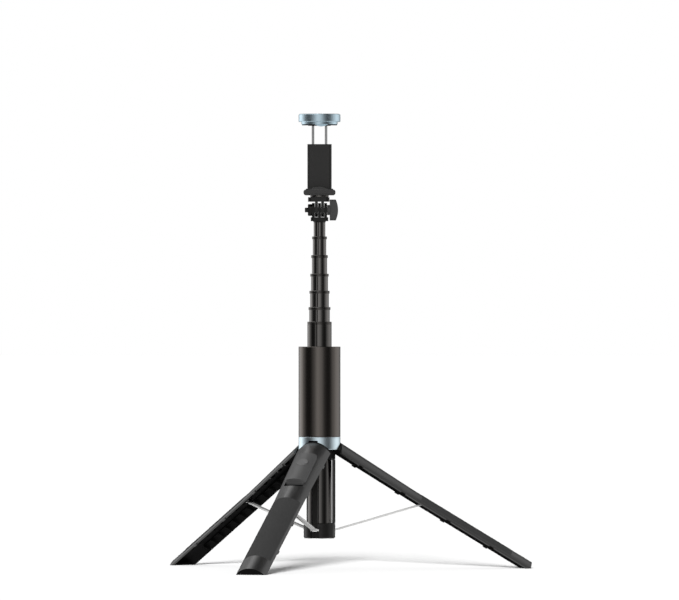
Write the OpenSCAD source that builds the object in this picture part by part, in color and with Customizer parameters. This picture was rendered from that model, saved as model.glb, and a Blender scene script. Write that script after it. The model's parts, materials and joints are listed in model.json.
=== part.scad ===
// Telescopic selfie stick with a fold-out tripod, a sprung phone clamp and a lift-out remote.
// Millimetres. Z is up, the floor is z = 0, the mast stands on the Z axis and the viewer is at -Y.

/* [Legs] */
// Angle of each open leg from the vertical
leg_open = 59; // [50:0.5:64]
// Azimuth of the front leg, from the viewer's side, positive to the right
front_az = -18.5; // [-40:0.5:40]
// Height of the leg pivots with the legs open
pivot_z = 133; // [129:0.5:150]
// Distance of the leg pivots from the mast axis
pivot_r = 17.8; // [17.4:0.1:18.2]
// Length of a leg from its pivot to its foot
leg_len = 248.6; // [240:0.1:258]
// Outer radius of the handle that the closed legs make
handle_r = 19.7; // [19.5:0.1:20.2]
// Wall of a leg shell
leg_wall = 2; // [1.6:0.1:2.2]
// Length of the flared head of a leg
flare_len = 100; // [60:1:106]
// Gap between neighbouring closed legs
leg_gap = 0.4; // [0.3:0.1:1]
// Start of the soft grip along a leg
grip_start = 108; // [102:1:112]
// End of the soft grip along a leg
grip_end = 223; // [200:1:236]
// Thickness of the soft grip
grip_t = 0.9; // [0.6:0.1:1]

/* [Braces] */
// Distance from the leg pivot to the brace bolt, along the leg
brace_at = 118; // [113:1:124]
// Depth of the brace bolt inside the outer surface of the closed handle
brace_bolt_in = 3.5; // [3.4:0.1:3.7]
// Height of the brace pins in the hub
hub_pin_z = 42; // [41:0.5:43]
// Distance of the brace pins from the mast axis
hub_pin_r = 15.8; // [15.7:0.1:15.9]
// Width of a brace
brace_w = 5.4; // [4.6:0.1:6]
// Thickness of a brace
brace_t = 1.2; // [1:0.1:1.4]

/* [Hub] */
// Outer radius of the lower hub
hub_r = 16.9; // [16.4:0.1:17.1]
// Height of the underside of the hub
hub_z = 33.1; // [30:0.1:35]
// Height of the hub
hub_h = 16.3; // [15.5:0.1:18]

/* [Sleeve] */
// Outer radius of the sleeve, the ring and the clamp cap
sleeve_r = 22.4; // [22:0.1:23]
// Wall of the sleeve
sleeve_wall = 1.2; // [1:0.1:1.3]
// Length of the sleeve
sleeve_len = 96.5; // [80:0.5:100]
// Height of the ring below the sleeve
ring_h = 13.5; // [13:0.1:14.5]
// Height of the joint between ring and sleeve above the leg pivots
ring_over_pivot = 8.6; // [8.4:0.1:10]

/* [Mast] */
// Outer radius of the fixed mast tube
mast_r = 13; // [12.8:0.1:13.1]
// Wall of the fixed mast tube
mast_wall = 1.2; // [1:0.1:1.3]
// Outer radius of the first sliding tube
tube_r = 11; // [10.8:0.1:11.2]
// How much smaller each further tube is
tube_step = 0.95; // [0.9:0.01:1]
// Wall of the sliding tubes
tube_wall = 0.5; // [0.4:0.05:0.5]
// Length of the sliding tubes
tube_len = 204; // [196:1:206]
// Room under the first sliding tube with the stick as it stands
foot_room = 16; // [13:0.1:20]
// Length of each sliding tube that shows
shown = [15.6, 17.5, 18.2, 19.9, 20, 15.9];
// Height of the rim at the top of each tube
rim_h = 3; // [2:0.5:4]
// How far a rim stands out from its tube
rim_out = 0.75; // [0.4:0.05:1]
// Radius of the groove that keys the tubes
key_r = 1.5; // [1.3:0.1:1.6]
// Azimuth of the keying groove
key_az = -17; // [-30:1:30]
// Running clearance of the sliding tubes
run_fit = 0.06; // [0.04:0.01:0.1]

/* [Head] */
// Height of the tilt bolt above the top of the last tube
tilt_up = 12.4; // [12.2:0.1:14]
// Thickness of each prong of the tilt joint
prong_t = 3; // [2.6:0.1:3.1]
// Gap between neighbouring prongs
prong_gap = 0.3; // [0.2:0.05:0.4]
// Radius of the prongs
prong_r = 7.5; // [7:0.1:7.8]
// Radius of the tilt bolt
bolt_r = 2.5; // [2:0.1:2.6]
// Height of the tilt knob
knob_h = 22.4; // [18:0.1:22.6]
// Distance from the tilt bolt to the underside of the plate it carries
plate_up = 8.9; // [8.8:0.1:9.6]
// Thickness of that plate
plate_t = 4.8; // [4.2:0.1:5.4]
// Height of the turntable on the plate
table_h = 2.1; // [1.8:0.1:3]

/* [Clamp] */
// Width of the lower jaw
jaw_w = 34.2; // [30:0.1:35]
// Height of the lower jaw
jaw_h = 6; // [5.6:0.1:7]
// Thickness of the soft pads
pad_t = 1; // [0.6:0.1:1.2]
// Gap that the clamp holds open, between the pads
phone_gap = 67.5; // [60:0.5:72]
// Height of the back housing above the lower jaw's underside
housing_h = 54.8; // [53:0.1:55]
// Width of the back housing
housing_w = 26; // [24:0.1:28]
// Depth of the back housing
housing_d = 8; // [7.6:0.1:8.4]
// Front face of the back housing, behind the mast axis
housing_y = 5; // [4.8:0.1:5.2]
// Distance between the two guide rods
rod_pitch = 14; // [12:0.1:15]
// Radius of the guide rods
rod_r = 1.5; // [1.2:0.1:1.6]
// Height of the cap disc
cap_h = 8.5; // [7:0.1:10]
// Radius of the step under the cap disc
cap_step_r = 19.4; // [18:0.1:20.5]
// Height of that step
cap_step_h = 2.7; // [2.4:0.1:3.2]

/* [Remote] */
// Start of the remote along the front leg
remote_start = 24; // [23:0.5:26]
// Length of the remote
remote_len = 52; // [48:0.5:54]
// Width of the remote
remote_w = 23; // [22.6:0.1:24]
// Distance of the remote's floor from the mast axis
remote_floor = 15.3; // [15.2:0.1:15.6]
// Radius of the remote's curved top about the mast axis
remote_top_r = 23.3; // [23:0.1:24]
// Wall of the remote's case
remote_wall = 1.2; // [1:0.1:1.3]
// Distance of the button from the leg pivot, along the leg
button_at = 43; // [42:0.5:44]
// Radius of the button
button_r = 6.1; // [5:0.1:6.4]
// Gap round the remote in its dock
dock_gap = 0.3; // [0.2:0.05:0.5]

/* [Hidden] */
$fn = 64;
eps = 0.01;

FRONT = 0;
RIGHT = 1;
REAR = 2;
leg_az = [front_az, front_az + 120, front_az - 120];

// Radii, walls and heights of tube i, where tube 1 is the fixed mast tube.
function outer_r(i) = i == 1 ? mast_r : tube_r - (i - 2) * tube_step;
function wall_of(i) = i == 1 ? mast_wall : tube_wall;
function bore_r(i) = outer_r(i) - wall_of(i);
function top_of(i) = i == 1 ? mast_top : top_of(i - 1) + shown[i - 2];
function foot_of(i) = i == 1 ? hub_z + hub_h - tube_seat : top_of(i) - tube_len;
hub_top = hub_z + hub_h;
spigot_h = 11;
mast_top = hub_top + spigot_h + foot_room + tube_len - shown[0];
tube_seat = 3.4;
rim_cover = 2;
key_out = 0.75;
bush_h = 9;
bush_floor = 3;
slip = 0.05;
pip_out = 0.3;
pip_r = 1.5;
pip_down = 12.5;

// Hub and stop posts.
block_foot = pivot_z - 15.8;
post_out = 17;
post_in = 14.4;
post_web = 0.6;
post_w = 8;
slot_w = brace_w + 0.4;
pin_r = 1;
pin_len = 9.2;
pin_room = 0.3;
hub_core_r = 11.3;
eye_room = 3.4;
pin_slot_in = 0.9;

// Hinge block and ring.
ring_top = pivot_z + ring_over_pivot;
ring_bore = sleeve_r - 1.5;
block_r = 17;
ear_r = 2.9;
lug_w = 8.8;
lug_r = 3;
lug_gap = 0.3;
ear_t = 2.9;
hinge_pin_r = 1.25;
arch_r = 19.4;
arch_top = pivot_z + 3.5;
lug_room = 1.1;
sleeve_spigot = 7.5;

// Legs.
head_cut = 2.8;
head_arch_r = 50;
half_arc = 60 - asin(leg_gap / 2 / handle_r);
shell_in = handle_r - leg_wall;
grip_arc = 50;
rib_in = 14.4;
rib_t = 1.2;
long_rib_at = 8;
long_rib_in = rib_in + 0.3;
long_rib_h = 4.5;
boss_r = 2.2;
eye_r = 1.6;
rivet_r = 0.9;
clip_s = [32, 87, 145, 200];
clip_len = 5;
clip_in = 0.2;
clip_skin = 0.5;
clip_root = 3;
clip_sweep = 7;

brace_bolt_r = handle_r - brace_bolt_in;

// Length of a brace, from its bolt in the open leg to its pin in the hub.
bolt_x = pivot_r + (brace_bolt_r - pivot_r) * cos(leg_open) + brace_at * sin(leg_open);
bolt_z = pivot_z + (brace_bolt_r - pivot_r) * sin(leg_open) - brace_at * cos(leg_open);
brace_len = norm([bolt_x - hub_pin_r, bolt_z - hub_pin_z]);
brace_slope = atan2(bolt_z - hub_pin_z, bolt_x - hub_pin_r);

// Head and clamp.
head_foot = top_of(7);
tilt_z = head_foot + tilt_up;
base_plate_z = head_foot + 0.5;
base_plate_h = 4.1;
base_x = 9.4;
base_y = 8;
prong_pitch = prong_t + prong_gap;
outer_prong = 2 * prong_pitch + prong_t / 2;
plate_z = tilt_z + plate_up;
table_z = plate_z + plate_t;
jaw_z = table_z + table_h;
jaw_top = jaw_z + jaw_h;
gap_low = jaw_top + pad_t;
gap_high = gap_low + phone_gap;
cap_z = gap_high + pad_t + 0.3;
disc_z = cap_z + cap_step_h;
inner_r = sleeve_r - sleeve_wall - 0.3;
housing_top = jaw_z + housing_h;
housing_back = housing_y + housing_d;
rod_y = housing_y + housing_d / 2 - 0.5;
well_r = 3.2;
well_foot = jaw_z + 2;
well_top = housing_top - 4;
rod_foot = well_foot + 20.3;
washer_h = 1.5;
washer_r = 2.9;
spring_turns = 8;
spring_wire = 0.35;

// Remote.
remote_end = remote_start + remote_len;
remote_split = 18.4;
remote_mid = (remote_start + remote_end) / 2;
cell_at = remote_end - 15;
tray_t = 1;
board_t = 1;
dome_r = 2.5;
dome_h = 0.9;
button_travel = 0.8;
button_out = 0.6;
thumb_r = 11;
thumb_floor = 16.4;

module spoke(az) { rotate([0, 0, az - 90]) children(); }

// Carries a closed leg, modelled along the mast, to its open place.
module opened(k) {
  spoke(leg_az[k]) translate([pivot_r, 0, pivot_z]) rotate([0, -leg_open, 0])
    translate([-pivot_r, 0, 0]) children();
}

module keys(r, size) {
  for (turn = [0, 180]) rotate(key_az - 90 + turn) translate([r + key_out, 0]) circle(size);
}

module keyed(r, more = 0) {
  difference() {
    circle(r + more);
    keys(r, key_r - more);
  }
}

module keyed_bore(i, less = 0) {
  difference() {
    circle(bore_r(i) - less);
    keys(outer_r(i), key_r + wall_of(i) + less);
  }
}

// Two small pips stamped in a tube, or the room for them in a rim.
module pips(i, more = 0) {
  for (side = [-1, 1]) translate([side * (outer_r(i) + pip_out - pip_r), 0, 0]) sphere(pip_r + more);
}

module tube(i) {
  color(i == 1 ? "#6b6763" : "#75716d") {
    foot = i == 1 ? foot_of(1) : foot_of(i) + bush_floor;
    head = top_of(i) - (i == 1 ? rim_h : rim_h - rim_cover);
    translate([0, 0, foot]) linear_extrude(head - foot) difference() {
      keyed(outer_r(i));
      keyed_bore(i);
    }
    if (i > 1) difference() {
      translate([0, 0, top_of(i) - pip_down]) pips(i);
      translate([0, 0, foot]) linear_extrude(head - foot) circle(outer_r(i) - wall_of(i) / 2);
    }
  }
}

// Rim that guides tube i + 1 at the top of tube i.
module rim(i) {
  top = top_of(i);
  color("#8a8681") difference() {
    union() {
      difference() {
        translate([0, 0, top - rim_h]) rotate_extrude()
          let (r = outer_r(i) + (i == 1 ? 0 : rim_out), c = 0.35)
            polygon([[0, 0], [r, 0], [r, rim_h - c], [r - c, rim_h], [0, rim_h]]);
        if (i == 1) translate([0, 0, top - rim_h - 1]) linear_extrude(rim_h + 2) keys(mast_r, key_r);
      }
      if (i == 1) translate([0, 0, top - rim_h - 12]) linear_extrude(12) keyed_bore(1);
    }
    translate([0, 0, top - rim_h - 13]) linear_extrude(rim_h + 14) keyed(outer_r(i + 1), run_fit);
    if (i > 1) translate([0, 0, top - rim_h - eps]) linear_extrude(rim_cover + eps) keyed(outer_r(i));
    for (side = [-1, 1]) translate([side * (outer_r(i + 1) - 1.4), 0, top - rim_h - 13])
      cylinder(r = pip_r + 0.45, h = rim_h + 14);
  }
}

// Bush at the foot of tube i, which runs in the bore of tube i - 1.
module foot_bush(i) {
  color("#2b2b2b") translate([0, 0, foot_of(i)]) difference() {
    linear_extrude(bush_h) keyed_bore(i - 1, slip);
    translate([0, 0, bush_floor]) linear_extrude(bush_h) keyed(outer_r(i));
    translate([0, 0, -1]) cylinder(r = outer_r(7) / 2, h = bush_h);
  }
}

module hub() {
  color("#3a3836") difference() {
    translate([0, 0, hub_z]) rotate_extrude() polygon([
      [0, 0], [hub_r - 1.2, 0], [hub_r, 1.2], [hub_r, hub_h - 0.8], [hub_r - 0.8, hub_h], [0, hub_h]]);
    translate([0, 0, hub_top - tube_seat]) linear_extrude(tube_seat + eps) difference() {
      keyed(mast_r);
      keyed_bore(1);
    }
    translate([0, 0, hub_z - eps]) cylinder(r = 7.5, h = 5);
    for (az = leg_az) spoke(az) hub_slot();
    for (az = leg_az) spoke(az + 60) translate([8.8, -3, hub_z - eps]) cube([5.2, 6, 6]);
    hub_screw_places() cylinder(r = 1.55, h = 2);
    hub_screw_places() translate([0, 0, -4]) cylinder(r = 0.8, h = 5);
  }
  color("#3a3836") translate([0, 0, hub_top - eps]) linear_extrude(spigot_h) difference() {
    keyed_bore(1);
    circle(bore_r(1) - 2.2);
  }
}

// Room for a brace eye, its pin and the closed brace.
module hub_slot() {
  translate([hub_core_r, -slot_w / 2, hub_z - 1]) cube([10, slot_w, hub_pin_z + eye_room - hub_z + 1]);
  translate([post_in + post_web, -slot_w / 2, hub_z]) cube([10, slot_w, hub_h + 1]);
  translate([hub_core_r + pin_slot_in, -pin_len / 2 - 0.2, hub_z - 1])
    cube([10, pin_len + 0.4, hub_pin_z + pin_r + pin_room - hub_z + 1]);
}

module hub_screw_places() {
  for (az = leg_az) spoke(az - front_az) translate([hub_r - 1.2, 0, hub_top - 5]) rotate([0, 90, 0]) children();
}

module hub_screws() {
  color("#9a9a9a") hub_screw_places() difference() {
    union() {
      cylinder(r = 1.5, h = 0.9);
      translate([0, 0, -2.6]) cylinder(r = 0.75, h = 2.7);
    }
    translate([0, 0, 0.5]) cylinder(r = 0.7, h = 1, $fn = 6);
  }
}

module stop_posts() {
  color("#4a4846") for (az = leg_az) spoke(az) intersection() {
    translate([post_in, 0, hub_top]) linear_extrude(block_foot - hub_top) difference() {
      translate([0, -post_w / 2]) square([post_out - post_in, post_w]);
      translate([post_web, -slot_w / 2]) square([post_out, slot_w]);
    }
    cylinder(r = post_out, h = 300);
  }
}

module sleeve() {
  color("#4d4744") translate([0, 0, ring_top]) rotate_extrude()
    let (r = sleeve_r, b = sleeve_r - sleeve_wall, h = sleeve_len, c = 0.4)
      polygon([[b, 0], [r - c, 0], [r, c], [r, h - c], [r - c, h], [b + c / 2, h], [b, h - c / 2]]);
}

module ring() {
  color("#b4cbd6") difference() {
    translate([0, 0, ring_top - ring_h]) rotate_extrude()
      let (r = sleeve_r, c = 0.4)
        polygon([[ring_bore, 0], [r - c, 0], [r, c], [r, ring_h - c], [r - c, ring_h], [ring_bore, ring_h]]);
    for (az = leg_az) spoke(az) {
      translate([0, 0, arch_top - arch_r]) rotate([0, 90, 0]) cylinder(r = arch_r, h = 40);
      translate([0, -(lug_w + 1.7) / 2, arch_top - 4]) cube([40, lug_w + 1.7, 5.1]);
    }
  }
}

module hinge_block() {
  top = ring_top + sleeve_spigot;
  color("#1d1c1c") difference() {
    union() {
      translate([0, 0, block_foot]) rotate_extrude()
        let (h = top - block_foot, f = ring_top - block_foot)
          polygon([
            [0, 0], [block_r - 0.8, 0], [block_r, 0.8], [block_r, f - 3.6], [ring_bore - slip, f - 3.6],
            [ring_bore - slip, f], [sleeve_r - sleeve_wall - slip, f], [sleeve_r - sleeve_wall - slip, h],
            [sleeve_r - sleeve_wall - 1.8, h], [sleeve_r - sleeve_wall - 1.8, f + 1.6],
            [mast_r + 2.2, f + 1.6], [mast_r + 2.2, h], [0, h]]);
      intersection() {
        for (az = leg_az) spoke(az) for (side = [-1, 1])
          translate([0, side * (lug_w / 2 + lug_gap + ear_t / 2), 0]) rotate([90, 0, 0])
            linear_extrude(ear_t, center = true) {
              translate([pivot_r, pivot_z]) circle(ear_r);
              translate([block_r - 2, pivot_z - 1]) square([pivot_r - block_r + 2 + ear_r, ring_over_pivot - 2.4]);
            }
        cylinder(r = ring_bore - slip, h = 400);
      }
    }
    translate([0, 0, block_foot - 1]) linear_extrude(top - block_foot + 2) keyed(mast_r, run_fit);
    for (az = leg_az) spoke(az) {
      translate([pivot_r - lug_r - 0.4, -lug_w / 2 - lug_gap, block_foot - 1])
        cube([20, lug_w + 2 * lug_gap, arch_top + lug_room - block_foot + 1]);
      translate([pivot_r, 0, pivot_z]) rotate([90, 0, 0])
        cylinder(r = hinge_pin_r, h = lug_w + 2 * (lug_gap + ear_t) + 1, center = true);
    }
    for (az = leg_az) spoke(az + 60) translate([mast_r + 2.2, -5, block_foot - 1]) cube([1.6, 10, 9]);
  }
}

module hinge_pins() {
  color("#c8c8c8") for (az = leg_az) spoke(az) translate([pivot_r, 0, pivot_z]) rotate([90, 0, 0])
    cylinder(r = hinge_pin_r, h = lug_w + 2 * (lug_gap + ear_t) - 0.4, center = true);
}

// Outer radius of a closed leg's shell at a distance along it.
function shell_r(s) = s < flare_len
  ? handle_r + (sleeve_r - handle_r) * (flare_len - s) / (flare_len - head_cut) : handle_r;

// Wall of a closed leg's shell, with its pivot at z = 0.
module shell_wall() {
  rotate([0, 0, -half_arc]) rotate_extrude(angle = 2 * half_arc) polygon([
    [sleeve_r, -head_cut + 1], [handle_r, -flare_len], [handle_r, -leg_len],
    [shell_in, -leg_len], [shell_in, -flare_len], [sleeve_r - leg_wall, -head_cut + 1]]);
}

module sector_rib(s, low, high) {
  for (side = [-1, 1]) translate([0, 0, -s]) rotate([0, 0, side < 0 ? -high : low])
    rotate_extrude(angle = high - low)
      translate([rib_in, -rib_t / 2]) square([shell_in + (shell_r(s) - handle_r) + 0.5 - rib_in, rib_t]);
}

// Ribs that stiffen a leg shell, left out where the closed leg passes the hub.
module leg_ribs(k) {
  hub_near = pivot_z + slide_up() - hub_top - 4;
  hub_far = pivot_z + slide_up() - hub_z + 4;
  for (s = [30 : 14 : leg_len - 10]) {
    if ((s < hub_near || s > hub_far) && (k != FRONT || s > remote_end + 14)) sector_rib(s, 28, 56);
  }
  start = k == FRONT ? remote_end + 12 : 24;
  for (side = [-1, 1]) translate([long_rib_in, side * long_rib_at - rib_t / 2, -hub_near])
    cube([long_rib_h, rib_t, hub_near - start]);
}

// How far the collar slides up as the legs close.
function slide_up() = hub_pin_z + sqrt(pow(brace_len, 2) - pow(brace_bolt_r - hub_pin_r, 2)) - pivot_z + brace_at;

module brace_boss() {
  for (side = [-1, 1]) translate([0, side * (slot_w / 2 + 1.1), 0]) rotate([90, 0, 0])
    linear_extrude(2, center = true) {
      translate([brace_bolt_r, -brace_at]) circle(boss_r);
      translate([brace_bolt_r, -brace_at - 4]) square([shell_in + 0.1 - brace_bolt_r, 8]);
    }
}

module hinge_lug() {
  rotate([90, 0, 0]) linear_extrude(lug_w, center = true) {
    translate([pivot_r, 0]) circle(lug_r);
    polygon([
      [pivot_r - lug_r, 0], [pivot_r - lug_r, -5], [shell_in, -15], [sleeve_r - 1, -15],
      [sleeve_r - 0.6, -head_cut], [pivot_r + lug_r - 0.2, -0.4]]);
  }
}

// Clips on one edge of a leg, and the notches for its neighbour's clips on the other.
module edge_clips(start, sweep, more) {
  for (s = clip_s) translate([0, 0, -s]) rotate([0, 0, start]) rotate_extrude(angle = sweep)
    translate([shell_r(s) - leg_wall + clip_in - more, -clip_len / 2 - more])
      square([leg_wall - clip_skin + 2 * more, clip_len + 2 * more]);
}

module dock_outline(more) {
  r = 4 + more;
  for (x = [-1, 1], y = [-1, 1]) translate([-remote_mid + x * (remote_len / 2 + more - r), y * (remote_w / 2 + more - r)])
    circle(r);
  square_at(remote_len + 2 * more - 2 * r, remote_w + 2 * more);
  square_at(remote_len + 2 * more, remote_w + 2 * more - 2 * r);
}

module square_at(l, w) { translate([-remote_mid - l / 2, -w / 2]) square([l, w]); }

// Stands a plan of (along the leg, across it) out from the mast axis, between two distances.
module outward(low, high) {
  translate([low, 0, 0]) rotate([0, 90, 0]) mirror([1, 0, 0]) linear_extrude(high - low) children();
}

module leg(k) {
  color("#454341") difference() {
    opened(k) difference() {
      union() {
        difference() {
          union() {
            shell_wall();
            leg_ribs(k);
          }
          rotate([0, 0, -grip_arc]) rotate_extrude(angle = 2 * grip_arc)
            translate([handle_r - grip_t, -grip_end]) square([5, grip_end - grip_start]);
          translate([brace_bolt_r, 0, -brace_at]) rotate([90, 0, 0]) cylinder(r = eye_r + 0.3, h = slot_w, center = true);
        }
        hinge_lug();
        brace_boss();
        edge_clips(half_arc - clip_root, clip_sweep, 0);
        if (k == FRONT) intersection() {
          outward(remote_floor - dock_gap - tray_t, 24) dock_box();
          cylinder(r = shell_in + 1.4, h = 1000, center = true);
        }
      }
      head_trim();
      translate([pivot_r, 0, 0]) rotate([90, 0, 0]) cylinder(r = hinge_pin_r + 0.04, h = 30, center = true);
      translate([brace_bolt_r, 0, -brace_at]) rotate([90, 0, 0]) cylinder(r = rivet_r, h = 30, center = true);
      edge_clips(-half_arc - 1, 5.4, 0.3);
      if (k == FRONT) {
        outward(remote_floor - dock_gap, 30) dock_outline(dock_gap);
        translate([thumb_r + thumb_floor, 0, -remote_end - 1]) rotate([90, 0, 0]) cylinder(r = thumb_r, h = remote_w - 2, center = true);
      }
    }
    translate([-2 * leg_len, -2 * leg_len, -100]) cube([4 * leg_len, 4 * leg_len, 100]);
  }
}

module dock_box() {
  translate([-remote_end - 13, -remote_w / 2 - dock_gap - 1.2])
    square([remote_len + 14.5, remote_w + 2 * dock_gap + 2.4]);
}

// Trims the head of a closed leg to a shallow arch, with room left for the lug.
module head_trim() {
  difference() {
    translate([10, -30, -head_cut - 12]) cube([20, 60, 30]);
    translate([0, 0, -head_cut - head_arch_r]) rotate([0, 90, 0]) cylinder(r = head_arch_r, h = 40);
    translate([0, -lug_w / 2, -8]) cube([40, lug_w, 20]);
  }
}

module grip(k) {
  color("#4c4c4c") opened(k) rotate([0, 0, -grip_arc]) rotate_extrude(angle = 2 * grip_arc)
    translate([handle_r - grip_t, -grip_end]) square([grip_t, grip_end - grip_start]);
}

module brace_bolt(k) {
  color("#bdbdbd") opened(k) translate([brace_bolt_r, 0, -brace_at]) rotate([90, 0, 0]) {
    cylinder(r = rivet_r, h = slot_w + 4, center = true);
  }
}

module brace(k) {
  color("#c9c9c9") spoke(leg_az[k]) translate([hub_pin_r, 0, hub_pin_z]) rotate([0, -brace_slope, 0]) {
    difference() {
      union() {
        for (x = [0, brace_len]) translate([x, 0, 0]) rotate([90, 0, 0]) cylinder(r = eye_r, h = brace_w, center = true);
        translate([0, -brace_w / 2, -brace_t / 2]) cube([brace_len, brace_w, brace_t]);
      }
      translate([brace_len, 0, 0]) rotate([90, 0, 0]) cylinder(r = rivet_r + 0.04, h = 10, center = true);
    }
    rotate([90, 0, 0]) cylinder(r = pin_r, h = pin_len, center = true);
  }
}

// Remote, modelled on a closed front leg.
module remote_form(low, high, less) {
  intersection() {
    outward(low, high) dock_outline(-less);
    cylinder(r = remote_top_r - less, h = 1000, center = true);
  }
}

module remote_top() {
  color("#777777") opened(FRONT) difference() {
    remote_form(remote_split, 30, 0);
    remote_form(remote_split - 1, 30, remote_wall);
    translate([0, 0, -button_at]) rotate([0, 90, 0]) cylinder(r = button_r + 0.2, h = 40);
  }
}

module remote_base() {
  color("#555555") opened(FRONT) {
    difference() {
      remote_form(remote_floor, remote_split, 0);
      remote_form(remote_floor + 0.8, remote_split + 1, remote_wall);
    }
    for (x = [-1, 1], y = [-1, 1])
      translate([remote_floor + 0.7, y * (remote_w / 2 - 3), -remote_mid + x * (remote_len / 2 - 3)])
        rotate([0, 90, 0]) cylinder(r = 1.2, h = remote_split - remote_floor - 0.7);
  }
}

module remote_board() {
  color("#2f5d3a") opened(FRONT) {
    outward(remote_split, remote_split + board_t) dock_outline(-remote_wall - 0.2);
    translate([remote_split + board_t, 0, -button_at]) rotate([0, 90, 0]) cylinder(r = dome_r, h = dome_h);
  }
}

module remote_cell() {
  color("#b9b9b9") opened(FRONT) translate([remote_floor + 0.8, 0, -cell_at]) rotate([0, 90, 0]) {
    cylinder(r = 8, h = 1.2);
    translate([0, 0, 1.2]) cylinder(r = 7, h = 0.4);
  }
}

module remote_button() {
  flange_r = button_r + 0.9;
  flange_top = sqrt(pow(remote_top_r - remote_wall, 2) - pow(flange_r, 2)) - 0.1;
  foot = remote_split + board_t + button_travel + 0.05;
  top = remote_top_r + button_out;
  color("#6d6d6d") opened(FRONT) translate([0, 0, -button_at]) rotate([0, 90, 0]) rotate_extrude() polygon([
    [dome_r + 1, foot], [flange_r, foot], [flange_r, flange_top], [button_r, flange_top], [button_r, top - 0.5],
    [button_r - 0.5, top], [0, top - 0.3], [0, foot + dome_h + 0.05], [dome_r + 1, foot + dome_h + 0.05]]);
}

// One prong of the tilt joint, centred at x, joined to a foot or head at a distance below or above the bolt.
module prong(x, reach) {
  translate([x, 0, tilt_z]) rotate([90, 0, 90]) linear_extrude(prong_t, center = true) {
    circle(prong_r);
    translate([-prong_r, min(0, reach)]) square([2 * prong_r, abs(reach)]);
  }
}

module head_base() {
  color("#2d2b2a") difference() {
    union() {
      for (i = [-1 : 1]) prong(2 * i * prong_pitch, base_plate_z + base_plate_h - 1 - tilt_z);
      translate([0, 0, base_plate_z]) linear_extrude(base_plate_h) rounded(base_x, base_y, 3);
      translate([0, 0, head_foot - 1]) cylinder(r1 = outer_r(7), r2 = outer_r(7) + 0.7, h = base_plate_z - head_foot + 1 + eps);
      translate([0, 0, head_foot - 16]) linear_extrude(17) keyed_bore(7);
    }
    translate([0, 0, tilt_z]) rotate([0, 90, 0]) cylinder(r = bolt_r + 0.05, h = 60, center = true);
    translate([0, 0, head_foot - 17]) cylinder(r = outer_r(7) - 2.4, h = 14);
  }
}

module rounded(x, y, r) {
  for (i = [-1, 1], j = [-1, 1]) translate([i * (x - r), j * (y - r)]) circle(r);
  square([2 * x - 2 * r, 2 * y], center = true);
  square([2 * x, 2 * y - 2 * r], center = true);
}

module on_bolt(x) { translate([x, 0, tilt_z]) rotate([0, 90, 0]) children(); }

module head_nut() {
  color("#34322f") on_bolt(-outer_prong - 4.4) difference() {
    cylinder(r1 = 5.8, r2 = 6.4, h = 4.4);
    translate([0, 0, -1]) cylinder(r = bolt_r + 0.05, h = 10);
  }
}

module head_bolt() {
  color("#9b9b9b") {
    on_bolt(-outer_prong - 7.4) cylinder(r = bolt_r, h = 2 * outer_prong + 7.4 + 2.5);
    on_bolt(-outer_prong - 7.6) cylinder(r1 = 1.6, r2 = bolt_r, h = 0.21);
  }
}

module head_knob() {
  inner = outer_prong + 0.1;
  bow = 26;
  color("#464646") difference() {
    union() {
      on_bolt(inner) cylinder(r = 5.4, h = 3.2);
      intersection() {
        on_bolt(inner + 2.7) linear_extrude(9.1) rounded(knob_h / 2, 2.8, 2.7);
        translate([inner + 11.7 - bow, 0, tilt_z]) rotate([90, 0, 0]) cylinder(r = bow, h = 20, center = true);
      }
    }
    on_bolt(0) cylinder(r = bolt_r, h = outer_prong + 2.5);
  }
}

module head_mount() {
  color("#3b3937") difference() {
    union() {
      for (side = [-1, 1]) prong(side * prong_pitch, plate_up + 0.5);
      translate([0, 0, plate_z]) linear_extrude(plate_t - 0.1) {
        translate([-0.8, 0]) rounded(11.5, 8.5, 4);
      }
    }
    on_bolt(-30) cylinder(r = bolt_r + 0.05, h = 60);
    translate([0, 0, plate_z - 5]) cylinder(r = 1.6, h = 20);
  }
}

module turntable() {
  color("#575350") translate([0, 0, table_z]) difference() {
    rotate_extrude() polygon([[0, 0], [9.4, 0], [9.9, 0.5], [9.9, table_h], [0, table_h]]);
    translate([0, 0, -1]) cylinder(r = 2.05, h = 10);
  }
}

module turntable_screw() {
  color("#a8a8a8") difference() {
    union() {
      translate([0, 0, plate_z + 0.6]) cylinder(r = 1.6, h = plate_t);
      translate([0, 0, table_z - 0.1]) cylinder(r = 2, h = jaw_z + 2.1 - table_z + 0.1);
      translate([0, 0, jaw_z + 2.1]) cylinder(r = 4, h = 2.4);
    }
    translate([0, 0, jaw_z + 3]) cylinder(r = 1.4, h = 4, $fn = 6);
  }
}

module jaw_plan() {
  intersection() {
    circle(inner_r);
    translate([-jaw_w / 2, -9.5]) square([jaw_w, housing_back + 1.2 + 9.5]);
  }
}

module housing_plan(less = 0) {
  translate([0, (housing_y + housing_back) / 2]) rounded(housing_w / 2 - less, housing_d / 2 - less, 3 - less);
}

module lower_jaw() {
  color("#35332f") difference() {
    union() {
      translate([0, 0, jaw_z]) linear_extrude(jaw_h) jaw_plan();
      intersection() {
        translate([0, 0, jaw_z]) linear_extrude(20) jaw_plan();
        translate([0, -5.6, jaw_z]) rotate([90, 0, 0]) linear_extrude(3.4)
          intersection() {
            translate([0, jaw_h + 2.9 - 16]) circle(16);
            translate([-9.5, 2]) square([19, 20]);
          }
      }
    }
    translate([0, 0, jaw_z + 1]) linear_extrude(jaw_h) housing_plan();
    translate([0, 0, jaw_z - 1]) cylinder(r = 2.05, h = 10);
    translate([0, 0, jaw_z + 2]) cylinder(r = 4.3, h = 10);
    for (side = [-1, 1]) translate([side * 13.4, -10, jaw_z - 1]) cube([1, 8, 3], center = true);
    translate([-11, -12, jaw_z - 1]) cube([22, 4.2, 2.6]);
  }
}

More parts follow.
